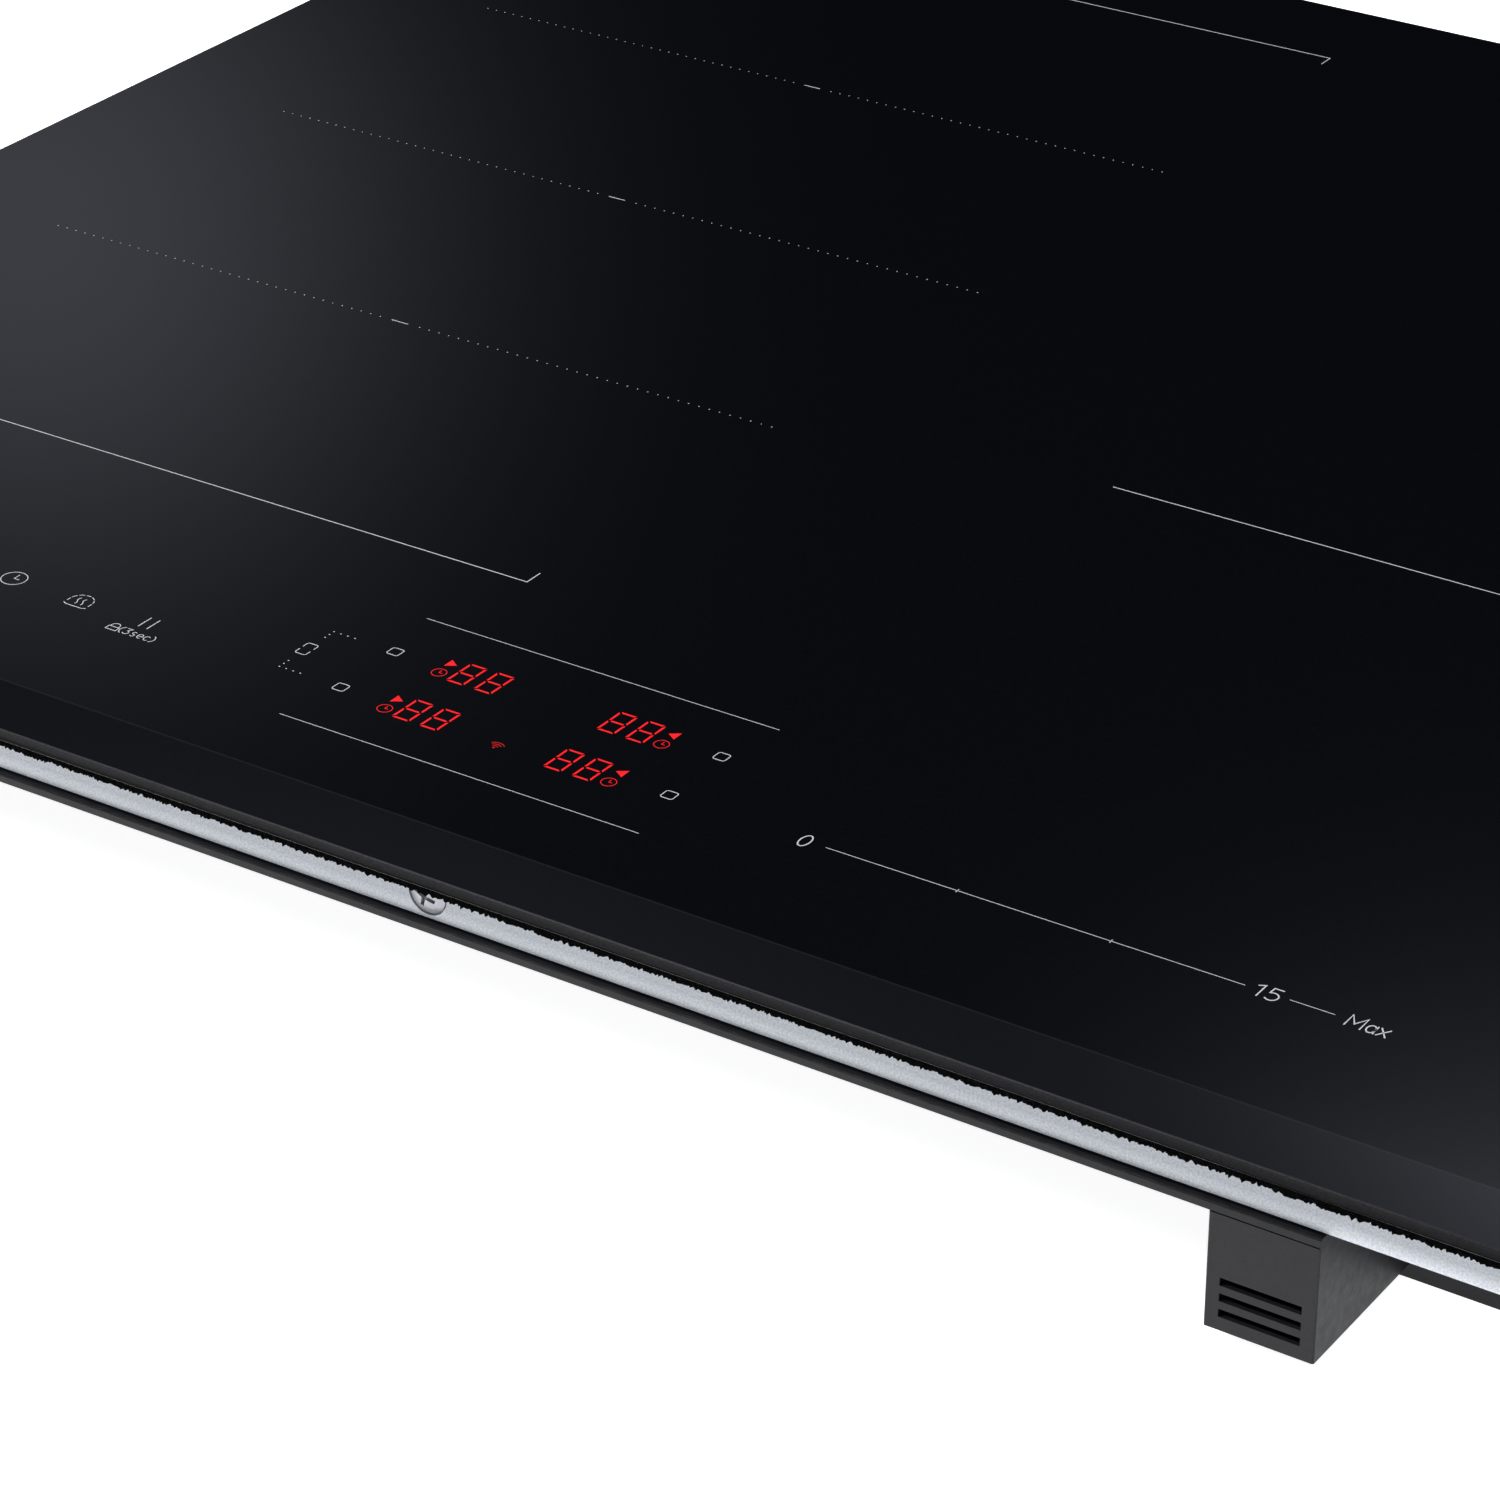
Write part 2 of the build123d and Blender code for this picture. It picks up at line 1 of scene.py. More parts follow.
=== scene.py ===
import bpy
import json
import math
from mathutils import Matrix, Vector, noise


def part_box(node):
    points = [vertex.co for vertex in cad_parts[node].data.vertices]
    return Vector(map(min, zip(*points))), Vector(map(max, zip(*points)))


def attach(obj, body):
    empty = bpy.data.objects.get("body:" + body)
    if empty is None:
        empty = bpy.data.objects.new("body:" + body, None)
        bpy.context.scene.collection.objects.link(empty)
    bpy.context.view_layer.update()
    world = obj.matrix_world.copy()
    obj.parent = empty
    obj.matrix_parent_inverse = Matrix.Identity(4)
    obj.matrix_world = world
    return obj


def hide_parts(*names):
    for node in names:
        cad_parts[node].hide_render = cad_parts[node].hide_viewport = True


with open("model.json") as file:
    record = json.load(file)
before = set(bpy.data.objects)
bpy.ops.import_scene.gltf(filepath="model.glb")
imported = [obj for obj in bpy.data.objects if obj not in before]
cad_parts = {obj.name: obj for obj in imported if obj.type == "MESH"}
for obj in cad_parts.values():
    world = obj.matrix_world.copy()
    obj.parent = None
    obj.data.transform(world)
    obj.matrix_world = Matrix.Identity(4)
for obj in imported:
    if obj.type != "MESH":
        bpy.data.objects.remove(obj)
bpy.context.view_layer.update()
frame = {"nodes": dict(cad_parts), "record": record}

MM = 0.001
BODY = "chassis"

# Places taken from the CAD frame, in metres
GLASS_LOW, GLASS_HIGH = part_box("glass_plate")
TOP = GLASS_HIGH.z
BEVEL_RUN = 15 * MM
BEVEL_LINE = GLASS_LOW.y + BEVEL_RUN
FRAME_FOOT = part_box("upper_frame")[0].z


# ---------------------------------------------------------------- materials

class Shader:
    """A node material with a Principled surface, textured in the object's own coordinates."""

    def __init__(self, name, metallic=0.0, ior=1.5, coat=0.0, specular=0.5):
        self.mat = bpy.data.materials.new(name)
        self.mat.use_nodes = True
        self.tree = self.mat.node_tree
        self.bsdf = self.tree.nodes["Principled BSDF"]
        self.bsdf.inputs["Metallic"].default_value = metallic
        self.bsdf.inputs["IOR"].default_value = ior
        self.bsdf.inputs["Coat Weight"].default_value = coat
        self.bsdf.inputs["Coat Roughness"].default_value = 0.1
        self.bsdf.inputs["Specular IOR Level"].default_value = specular
        self.coords = self.node("ShaderNodeTexCoord").outputs["Object"]

    def node(self, kind, **settings):
        made = self.tree.nodes.new(kind)
        for key, value in settings.items():
            setattr(made, key, value)
        return made

    def link(self, source, target):
        self.tree.links.new(source, target)

    def mapped(self, stretch):
        mapping = self.node("ShaderNodeMapping")
        mapping.inputs["Scale"].default_value = stretch
        self.link(self.coords, mapping.inputs["Vector"])
        return mapping.outputs["Vector"]

    def noise(self, grain, stretch=(1, 1, 1), detail=4.0, rough=0.55):
        """Noise with one feature in about every grain metres."""
        texture = self.node("ShaderNodeTexNoise")
        texture.inputs["Scale"].default_value = 1.0 / grain
        texture.inputs["Detail"].default_value = detail
        texture.inputs["Roughness"].default_value = rough
        self.link(self.mapped(stretch), texture.inputs["Vector"])
        return texture.outputs["Fac"]

    def cells(self, grain):
        """Distance from the middle of cells that are about grain metres across."""
        texture = self.node("ShaderNodeTexVoronoi")
        texture.inputs["Scale"].default_value = 1.0 / grain
        self.link(self.mapped((1, 1, 1)), texture.inputs["Vector"])
        return texture.outputs["Distance"]

    def ramp(self, value, stops):
        """Colour by value, from (place, colour) stops."""
        ramp = self.node("ShaderNodeValToRGB")
        while len(ramp.color_ramp.elements) < len(stops):
            ramp.color_ramp.elements.new(0.5)
        for element, (place, colour) in zip(ramp.color_ramp.elements, stops):
            element.position = place
            element.color = (*colour, 1)
        self.link(value, ramp.inputs["Fac"])
        return ramp.outputs["Color"]

    def spread(self, value, low, high, start=0.0, stop=1.0):
        """Value from start..stop, mapped onto low..high and held at its ends."""
        scale = self.node("ShaderNodeMapRange")
        scale.inputs["From Min"].default_value = start
        scale.inputs["From Max"].default_value = stop
        scale.inputs["To Min"].default_value = low
        scale.inputs["To Max"].default_value = high
        self.link(value, scale.inputs["Value"])
        return scale.outputs["Result"]

    def math(self, kind, a, b):
        made = self.node("ShaderNodeMath", operation=kind)
        for socket, value in zip(made.inputs, (a, b)):
            if isinstance(value, (int, float)):
                socket.default_value = value
            else:
                self.link(value, socket)
        return made.outputs[0]

    def mix(self, factor, a, b):
        made = self.node("ShaderNodeMix", data_type="RGBA")
        self.link(factor, made.inputs["Factor"])
        self.link(a, made.inputs["A"])
        self.link(b, made.inputs["B"])
        return made.outputs["Result"]

    def axis(self, name):
        parts = self.node("ShaderNodeSeparateXYZ")
        self.link(self.coords, parts.inputs["Vector"])
        return parts.outputs[name]

    def colour(self, value):
        self.link(value, self.bsdf.inputs["Base Color"])

    def rough(self, value):
        self.link(value, self.bsdf.inputs["Roughness"])

    def bump(self, height, distance):
        made = self.node("ShaderNodeBump")
        made.inputs["Strength"].default_value = 1.0
        made.inputs["Distance"].default_value = distance
        self.link(height, made.inputs["Height"])
        self.link(made.outputs["Normal"], self.bsdf.inputs["Normal"])


def simple(name, dark, light, grain, rough, bump, metallic=0.0, stretch=(1, 1, 1), **extra):
    """Mottled material: two tones, a roughness range and a fine bump."""
    s = Shader(name, metallic=metallic, **extra)
    tone = s.noise(grain, stretch)
    s.colour(s.ramp(tone, [(0.3, dark), (0.7, light)]))
    s.rough(s.spread(s.noise(grain * 3, stretch), *rough, 0.3, 0.7))
    s.bump(tone, bump)
    return s.mat


# Painted light and shade of the ground edge by height, palest just above the middle and black as painted
# shadow low down: 0 at the underside of the glass, 1 at its top
GROUND_SHADE_TONES = (
    (0.0, 0.0006),
    (0.085, 0.0008),
    (0.125, 0.007),
    (0.40, 0.0105),
    (0.62, 0.0145),
    (0.66, 0.0075),
    (1.0, 0.0075),
)
GROUND_DULL, GROUND_BRIGHT = 0.72, 1.32
BLUE_CAST = 1.08
LEFT_SHADE, SHADE_REACH = 0.16, 120 * MM
GLINT_INNER, GLINT_OUTER = 0.1 * MM, 0.3 * MM


def ceramic_glass():
    """Black glass ceramic: polished top, ground edges, and a painted highlight line where the bevel starts.
    """
    s = Shader("ceramic_glass_black", ior=1.5)
    fleck = s.noise(0.0009, detail=6)
    body = s.ramp(fleck, [(0.35, (0.0030, 0.0034, 0.0048)), (0.65, (0.0038, 0.0042, 0.0060))])
    # painted highlight: a thin paler line along the bevel line, in place of light caught where the bevel
    # starts
    bevel_glint = s.math("ABSOLUTE", s.math("SUBTRACT", s.axis("Y"), BEVEL_LINE), 0.0)
    bevel_glint = s.spread(bevel_glint, 1.0, 0.0, GLINT_INNER, GLINT_OUTER)
    glint_tone = s.ramp(fleck, [(0.35, (0.011, 0.0115, 0.013)), (0.65, (0.014, 0.0145, 0.016))])
    body = s.mix(bevel_glint, body, glint_tone)
    geometry = s.node("ShaderNodeNewGeometry")
    facing = s.node("ShaderNodeSeparateXYZ")
    s.link(geometry.outputs["True Normal"], facing.inputs["Vector"])
    side = s.spread(facing.outputs["Z"], 1.0, 0.0, 0.8, 0.99)
    # the ground edge is painted palest just above its middle, as painted light, and black next to the foam,
    # as painted shadow
    grain = s.noise(0.0003, detail=3)
    height = s.spread(s.axis("Z"), 0.0, 1.0, GLASS_LOW.z, TOP)
    # its painted black part is deeper towards the left, in place of foam pressed up against it
    leftward = s.spread(s.axis("X"), LEFT_SHADE, 0.0, -SHADE_REACH, SHADE_REACH)
    shade = s.math("MULTIPLY", leftward, s.spread(height, 1.0, 0.0, 0.25, 0.55))
    height = s.math("SUBTRACT", height, shade)
    dull, bright = (
        s.ramp(height, [(at, (k * tone, k * tone, BLUE_CAST * k * tone)) for at, tone in GROUND_SHADE_TONES])
        for k in (GROUND_DULL, GROUND_BRIGHT)
    )
    ground = s.mix(s.spread(grain, 0.0, 1.0, 0.35, 0.65), dull, bright)
    s.colour(s.mix(side, body, ground))
    s.link(side, s.bsdf.inputs["Metallic"])
    haze = s.spread(s.noise(0.06, detail=3), 0.015, 0.03, 0.3, 0.7)
    s.rough(s.math("ADD", haze, s.math("MULTIPLY", side, s.spread(grain, 0.28, 0.42, 0.3, 0.7))))
    s.bump(s.math("MULTIPLY", side, grain), 0.00004)
    return s.mat


def foam_black():
    """Black cell foam: painted shade in the pits between slightly paler cell walls, and painted highlights
    where the cells stand highest.
    """
    s = Shader("foam_black", ior=1.4, specular=0.05)
    grain = s.noise(0.0007, detail=6, rough=0.7)
    # painted shade where the bump is low and painted highlight where it is high
    pit_shade, wall, tip = (0.0003, 0.0003, 0.0005), (0.002, 0.002, 0.0025), (0.016, 0.016, 0.018)
    s.colour(s.ramp(grain, [(0.45, pit_shade), (0.6, wall), (0.8, tip)]))
    s.rough(s.spread(grain, 0.75, 0.95, 0.3, 0.7))
    s.bump(s.math("ADD", grain, s.cells(0.0009)), 0.0004)
    return s.mat


FOOT_LIGHT_RISE = 3.5 * MM


def galvanised():
    """Zinc-coated sheet: fine speckle over faint larger spangles."""
    s = Shader("galvanised_sheet", metallic=0.3, specular=0.4)
    fine = s.noise(0.0005, detail=2)
    spangle = s.noise(0.006, detail=2)
    tone = s.math("ADD", s.math("MULTIPLY", fine, 0.94), s.math("MULTIPLY", spangle, 0.06))
    zinc = s.ramp(tone, [(0.35, (0.315, 0.335, 0.36)), (0.65, (0.445, 0.465, 0.495))])
    painted_light_zinc = s.ramp(tone, [(0.35, (0.58, 0.61, 0.65)), (0.65, (0.78, 0.81, 0.85))])
    # painted light: the zinc is painted paler towards the fold at the foot of the wall, offsetting the shade
    # that the flange casts there
    low = s.spread(s.axis("Z"), 1.0, 0.0, FRAME_FOOT, FRAME_FOOT + FOOT_LIGHT_RISE)
    s.colour(s.mix(low, zinc, painted_light_zinc))
    s.rough(s.spread(fine, 0.40, 0.50, 0.3, 0.7))
    s.bump(fine, 0.00001)
    return s.mat


def brushed(name, dark, light, along):
    """Rolled or drawn metal with streaks along one axis."""
    stretch = [1.0, 1.0, 1.0]
    stretch["XYZ".index(along)] = 0.04
    return simple(name, dark, light, 0.0006, (0.25, 0.42), 0.00002, metallic=1.0, stretch=stretch)


def copper_litz():
    s = Shader("copper_litz", metallic=0.9, coat=0.4)
    strand = s.noise(0.0008, stretch=(1, 1, 0.3), detail=5)
    s.colour(s.ramp(strand, [(0.3, (0.42, 0.16, 0.07)), (0.7, (0.78, 0.38, 0.2))]))
    s.rough(s.spread(strand, 0.3, 0.5, 0.3, 0.7))
    s.bump(strand, 0.0002)
    return s.mat


def board_green():
    s = Shader("board_green", coat=0.3)
    track = s.cells(0.004)
    s.colour(s.ramp(track, [(0.15, (0.05, 0.2, 0.08)), (0.4, (0.015, 0.09, 0.04))]))
    s.rough(s.spread(s.noise(0.002), 0.3, 0.5, 0.3, 0.7))
    s.bump(track, 0.0001)
    return s.mat


def print_white():
    s = Shader("print_white", specular=0.3)
    dots = s.noise(0.0002, detail=3)
    s.colour(s.ramp(dots, [(0.35, (0.60, 0.60, 0.61)), (0.65, (0.72, 0.72, 0.73))]))
    s.rough(s.spread(dots, 0.45, 0.65, 0.3, 0.7))
    s.bump(dots, 0.00001)
    return s.mat


def led_red(name, strength):
    """Lit display film with a faintly mottled glow."""
    s = Shader(name)
    glow = s.noise(0.0004, detail=2)
    s.colour(s.ramp(glow, [(0.3, (0.20, 0.001, 0.002)), (0.7, (0.28, 0.002, 0.003))]))
    s.rough(s.spread(glow, 0.25, 0.4, 0.3, 0.7))
    light = s.ramp(glow, [(0.3, (0.84, 0.005, 0.008)), (0.7, (0.95, 0.010, 0.013))])
    s.link(light, s.bsdf.inputs["Emission Color"])
    s.bsdf.inputs["Emission Strength"].default_value = strength
    return s.mat


# One finish for each material slot of the CAD record
FINISHES = {
    "ceramic_glass": ceramic_glass(),
    "edge_foam": foam_black(),
    "silicone": simple("silicone_black", (0.008,) * 3, (0.02,) * 3, 0.002, (0.35, 0.55), 0.0001),
    "galvanised_steel": galvanised(),
    "zinc_screw": simple(
        "zinc_bright", (0.35, 0.36, 0.385), (0.45, 0.465, 0.49), 0.0012, (0.38, 0.5), 0.00002,
        metallic=0.5,
    ),
    "dark_sheet": simple(
        "coated_dark_grey", (0.0085, 0.0088, 0.0102), (0.0125, 0.0128, 0.0146), 0.0008, (0.38, 0.5), 0.00003,
        specular=0.24,
    ),
    "aluminium_sheet": brushed("aluminium_rolled", (0.6, 0.61, 0.62), (0.78, 0.79, 0.8), "X"),
    "coil_plastic": simple("plastic_glass_filled", (0.04,) * 3, (0.08,) * 3, 0.001, (0.5, 0.7), 0.0001),
    "litz_copper": copper_litz(),
    "sensor_rubber": simple("silicone_white", (0.55,) * 3, (0.7,) * 3, 0.001, (0.5, 0.6), 0.00005),
    "mica": simple("mica_paper", (0.4, 0.33, 0.22), (0.62, 0.54, 0.4), 0.004, (0.3, 0.5), 0.0001),
    "circuit_board": board_green(),
    "heatsink_aluminium": brushed("aluminium_drawn", (0.5, 0.51, 0.52), (0.66, 0.67, 0.68), "Y"),
    "fan_plastic": simple("plastic_fan_black", (0.012,) * 3, (0.024,) * 3, 0.0015, (0.4, 0.55), 0.00005),
    "display_plastic": simple("plastic_display", (0.015,) * 3, (0.03,) * 3, 0.001, (0.25, 0.4), 0.00004),
    "carrier_plastic": simple("plastic_carrier", (0.5,) * 3, (0.62,) * 3, 0.002, (0.45, 0.6), 0.00005),
    "terminal_plastic": simple(
        "plastic_terminal", (0.5, 0.48, 0.43), (0.62, 0.6, 0.55), 0.001, (0.4, 0.6), 0.00005
    ),
    "inlet_rubber": simple("rubber_inlet", (0.01,) * 3, (0.022,) * 3, 0.0012, (0.55, 0.75), 0.0001),
    "clamp_steel": brushed("zinc_spring_steel", (0.27, 0.28, 0.30), (0.42, 0.43, 0.455), "Y"),
}
PRINT = print_white()
RED = led_red("display_red", 1.0)
DIM_RED = led_red("display_red_dim", 0.42)


def finish_cad_nodes():
    slots = {row["node"]: row["material_slot"] for row in frame["record"]["subparts"]}
    for name, obj in frame["nodes"].items():
        for index in range(len(obj.material_slots)):
            obj.material_slots[index].material = FINISHES[slots[name]]


# ---------------------------------------------------------------- printed and lit marks

MARK_HALF = 0.03 * MM
MARK_LOW, MARK_HIGH = TOP - MARK_HALF, TOP + MARK_HALF
# Line widths in millimetres
LINE, FINE_LINE, ICON_LINE = 0.25, 0.15, 0.20


class Marks:
    """Thin closed ribbons and dots on the glass. Millimetres: x from the centre, y from the bevel line."""

    def __init__(self):
        self.verts = []
        self.faces = []

    def add(self, outline, hole=None):
        """One flat prism from an outline, or a ring from an outline and its hole (same point count)."""
        count = len(outline)
        start = len(self.verts)
        loops = [outline] if hole is None else [outline, hole]
        for loop in loops:
            for z in (MARK_LOW, MARK_HIGH):
                self.verts += [(x * MM, BEVEL_LINE + y * MM, z) for x, y in loop]
        if hole is None:
            self.faces.append(tuple(start + count + i for i in range(count)))
            self.faces.append(tuple(start + count - 1 - i for i in range(count)))
        for i in range(count):
            j = (i + 1) % count
            self.faces.append((start + i, start + j, start + count + j, start + count + i))
            if hole is not None:
                inner = start + 2 * count
                self.faces.append((inner + j, inner + i, inner + count + i, inner + count + j))
                upper, inner_upper = start + count, inner + count
                self.faces.append((upper + i, upper + j, inner_upper + j, inner_upper + i))
                self.faces.append((start + j, start + i, inner + i, inner + j))

    def stroke(self, points, width=LINE):
        """Ribbon along an open line, with mitred corners."""
        left, right = [], []
        for i, point in enumerate(points):
            before = Vector(point) - Vector(points[i - 1]) if i else None
            after = Vector(points[i + 1]) - Vector(point) if i + 1 < len(points) else None
            dirs = [d.normalized() for d in (before, after) if d is not None]
            along = sum(dirs, Vector((0, 0))).normalized()
            normal = Vector((-along.y, along.x))
            reach = width / 2 / max(0.5, along.dot(dirs[0]))
            left.append(Vector(point) + normal * reach)
            right.append(Vector(point) - normal * reach)
        # bands keep each face convex where the line bends
        start = len(self.verts)
        for pair in zip(left, right):
            for z in (MARK_LOW, MARK_HIGH):
                self.verts += [(p.x * MM, BEVEL_LINE + p.y * MM, z) for p in pair]
        for i in range(len(points) - 1):
            a, b = start + 4 * i, start + 4 * (i + 1)
            self.faces.append((a + 3, b + 3, b + 2, a + 2))
            self.faces.append((a + 0, b + 0, b + 1, a + 1))
            self.faces.append((a + 2, b + 2, b + 0, a + 0))
            self.faces.append((a + 1, b + 1, b + 3, a + 3))
        end = start + 4 * (len(points) - 1)
        self.faces.append((start + 2, start + 0, start + 1, start + 3))
        self.faces.append((end + 3, end + 1, end + 0, end + 2))

    def loop(self, points, width=LINE):
        """Ribbon along a closed line that runs counter-clockwise."""
        outer, inner = [], []
        count = len(points)
        for i, point in enumerate(points):
            before = (Vector(point) - Vector(points[i - 1])).normalized()
            after = (Vector(points[(i + 1) % count]) - Vector(point)).normalized()
            along = (before + after).normalized()
            normal = Vector((along.y, -along.x)) * (width / 2 / max(0.5, along.dot(before)))
            outer.append(Vector(point) + normal)
            inner.append(Vector(point) - normal)
        self.add(outer, inner)

    def dot(self, x, y, radius):
        """Small twelve-sided disc."""
        self.add(arc(x, y, radius, 0, 330, 12))

    def piece(self, name, material):
        """Makes one object of everything drawn so far."""
        mesh = bpy.data.meshes.new(name)
        mesh.from_pydata(self.verts, [], self.faces)
        mesh.materials.append(material)
        mesh.validate()
        obj = bpy.data.objects.new(name, mesh)
        bpy.context.scene.collection.objects.link(obj)
        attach(obj, BODY)


def arc(x, y, radius, start, stop, count, stretch=1.0):
    """Points round a centre, angles in degrees, stretched along y."""
    step = (stop - start) / (count - 1)
    angles = [math.radians(start + step * i) for i in range(count)]
    return [(x + radius * math.cos(a), y + radius * stretch * math.sin(a)) for a in angles]


def rounded(x, y, width, height, radius):
    """Counter-clockwise rounded rectangle."""
    points = []
    for turn, (sx, sy) in enumerate(((1, 1), (-1, 1), (-1, -1), (1, -1))):
        cx, cy = x + sx * (width / 2 - radius), y + sy * (height / 2 - radius)
        points += arc(cx, cy, radius, 90 * turn, 90 * turn + 90, 4)
    return points


def dotted(marks, x0, x1, y, count):
    for i in range(count):
        marks.dot(x0 + (x1 - x0) * i / (count - 1), y, 0.16)


# Advance and strokes of the few characters, in units of the cap height, origin at the baseline
GLYPHS = {
    "0": (0.62, [arc(0.31, 0.52, 0.265, 90, 450, 25, 1.95)]),
    "1": (0.62, [[(0.04, 0.84), (0.35, 1.0), (0.35, 0.0)]]),
    "5": (0.74, [[(0.64, 1.0), (0.16, 1.0), (0.13, 0.58)] + arc(0.34, 0.32, 0.32, 125, -140, 15)]),
    "M": (0.96, [[(0.05, 0.0), (0.05, 0.97), (0.42, 0.30), (0.80, 0.97), (0.80, 0.0)]]),
    "a": (0.58, [arc(0.26, 0.33, 0.21, 20, 380, 17, 1.45), [(0.47, 0.68), (0.47, 0.0)]]),
    "x": (0.56, [[(0.03, 0.68), (0.50, 0.0)], [(0.50, 0.68), (0.03, 0.0)]]),
    "(": (0.52, [arc(0.67, 0.5, 0.63, 117, 243, 9)]),
    "3": (0.86, [[(0.04, 1.0), (0.60, 1.0), (0.30, 0.60)] + arc(0.29, 0.30, 0.30, 60, -150, 11)]),
    "s": (0.74, [arc(0.27, 0.565, 0.19, 40, 240, 8) + arc(0.27, 0.19, 0.20, 60, -150, 8)]),
    "e": (0.76, [[(0.03, 0.38)] + arc(0.29, 0.38, 0.27, 0, 310, 15, 1.35)]),
    "c": (0.66, [arc(0.27, 0.38, 0.27, 45, 315, 13, 1.35)]),
    ")": (0.40, [arc(-0.26, 0.5, 0.63, -63, 63, 9)]),
}


def write(marks, text, x, y, cap, weight):
    """Draws characters from x on, with their baseline at y."""
    for letter in text:
        advance, lines = GLYPHS[letter]
        for line in lines:
            marks.stroke([(x + cap * px, y + cap * py) for px, py in line], weight)
        x += cap * advance


# Layout on the glass, millimetres: x from the centre, y from the bevel line
GROUP_X = {"left": -25.1, "right": 13.2}
GROUP_Y = {"front": 32.0, "rear": 50.85}
DIGIT_PITCH = 7.07
KEY_Y = 35.9
ZONE_LEFT = (-248.0, -37.1)
ZONE_LINES = (96.8, 191.5, 282.9, 374.3, 469.0)
ROUND_ZONE = (45.5, 248.0)
ROUND_ZONE_MIDDLE = 207.5
BRACKET_X, BRACKET_LINES = 45, (20.2, 71.1)
KEY_X, KEY_ROWS, KEY_SIDE = 41.4, (36.3, 55.2), 2.9


def zone_print():
    """Boundary lines of the flexible zone on the left and lines of the round zones on the right."""
    marks = Marks()
    x0, x1 = ZONE_LEFT
    middle = (x0 + x1) / 2
    for y, back in ((ZONE_LINES[0], 5.0), (ZONE_LINES[-1], -5.0)):
        marks.stroke([(x0, y + back), (x0, y), (x1, y), (x1, y + back)])
    for y in ZONE_LINES[1:-1]:
        marks.stroke([(middle - 2.45, y), (middle + 2.45, y)])
        for side in (-1, 1):
            dotted(marks, middle + side * 5.9, middle + side * 106.8, y, 36)
    for y in (ROUND_ZONE_MIDDLE, ZONE_LINES[-1]):
        marks.stroke([(x, y) for x in ROUND_ZONE])
    marks.piece("zone_print", PRINT)


def selector_print():
    """Bracket lines, zone keys and the link symbol round the displays."""
    marks = Marks()
    for y in BRACKET_LINES:
        marks.stroke([(-BRACKET_X, y), (BRACKET_X, y)], FINE_LINE)
    for x in (-KEY_X, KEY_X):
        for y in KEY_ROWS:
            marks.loop(rounded(x, y, KEY_SIDE, KEY_SIDE, 0.55), ICON_LINE)
    x, low, high = -57.8, 36.5, 55.3
    for step in range(3):
        marks.dot(x, low + 1.58 * step, 0.18)
        marks.dot(x, high - 1.55 * step, 0.18)
        marks.dot(x + 1.85 * (step + 1), low, 0.18)
        marks.dot(x + 1.87 * (step + 1), high, 0.18)
    half_w, half_h, gap, bend = 1.4, 2.45, 0.55, 0.6
    for up in (1, -1):
        corner = arc(half_w - bend, half_h - bend, bend, 0, 90, 5)
        side = [(half_w, gap)] + corner + [(-px, py) for px, py in reversed(corner)] + [(-half_w, gap)]
        marks.stroke([(x + px, 45.9 + up * py) for px, py in side], ICON_LINE)
    marks.piece("selector_print", PRINT)


def slider_print():
    """Power slider with its scale."""
    marks = Marks()
    base, cap, weight = KEY_Y - 2.25, 4.3, 0.30
    write(marks, "0", 72.75, base, cap, weight)
    marks.stroke([(78.9, KEY_Y), (172.5, KEY_Y)], FINE_LINE)
    for x in (109.2, 143.5):
        marks.stroke([(x, KEY_Y - 0.6), (x, KEY_Y + 0.6)], ICON_LINE)
    write(marks, "15", 174.45, base, cap, weight)
    marks.stroke([(182.0, KEY_Y), (191.5, KEY_Y)], FINE_LINE)
    write(marks, "Max", 194.2, base, cap, weight)
    marks.piece("slider_print", PRINT)


def keep_warm(marks, x, y):
    """Plate under a dashed dome, with two curls of steam."""
    radius = 2.92
    rim = [(-3.05, -2.0), (-2.6, -2.25), (-2.0, -2.45), (2.0, -2.45), (2.6, -2.25), (3.05, -2.0)]
    marks.stroke([(x + px, y + py) for px, py in rim], ICON_LINE)
    step = math.pi * radius / 44
    left = [(x - radius, y - step * (5 - i)) for i in range(5)]
    right = [(x + radius, y - step * (i + 1)) for i in range(5)]
    dome = left + arc(x, y, radius, 180, 0, 45) + right
    for first in range(0, 55, 8):
        marks.stroke(dome[first:first + 7], ICON_LINE)
    for shift in (-0.75, 0.75):
        curl = [(x + shift + 0.32 * math.cos(0.45 * t - 0.8), y - 1.4 + 0.23 * t) for t in range(13)]
        marks.stroke(curl, ICON_LINE)


def padlock(marks, x, y):
    """Padlock, lower left corner of its body at x, y."""
    body = [(x, y), (x + 2.7, y), (x + 2.7, y + 1.4), (x, y + 1.4)]
    marks.loop(body, ICON_LINE)
    shackle = [(x + 0.3, y + 1.45)] + arc(x + 1.35, y + 1.85, 1.05, 180, 0, 11) + [(x + 2.4, y + 1.45)]
    marks.stroke(shackle, ICON_LINE)


def function_print():
    """Power, timer, keep-warm, pause and lock symbols at the left."""
    marks = Marks()
    x, y = -150.0, 36.9
    marks.stroke(arc(x, y, 2.75, 125, 415, 28), ICON_LINE)
    marks.stroke([(x, y + 0.6), (x, y + 3.4)], ICON_LINE)

    x = -130.9
    marks.loop(arc(x, y, 2.95, 0, 350, 36), ICON_LINE)
    marks.stroke([(x + 1.4, y), (x, y), (x, y + 1.9)], ICON_LINE)

    keep_warm(marks, -111.83, 36.43)
    for x in (-94.2, -91.85):
        marks.stroke([(x, 34.35), (x, 38.9)], 0.24)
    padlock(marks, -99.6, 29.95)
    write(marks, "(3sec)", -96.6, 30.0, 2.4, 0.19)
    marks.piece("function_print", PRINT)


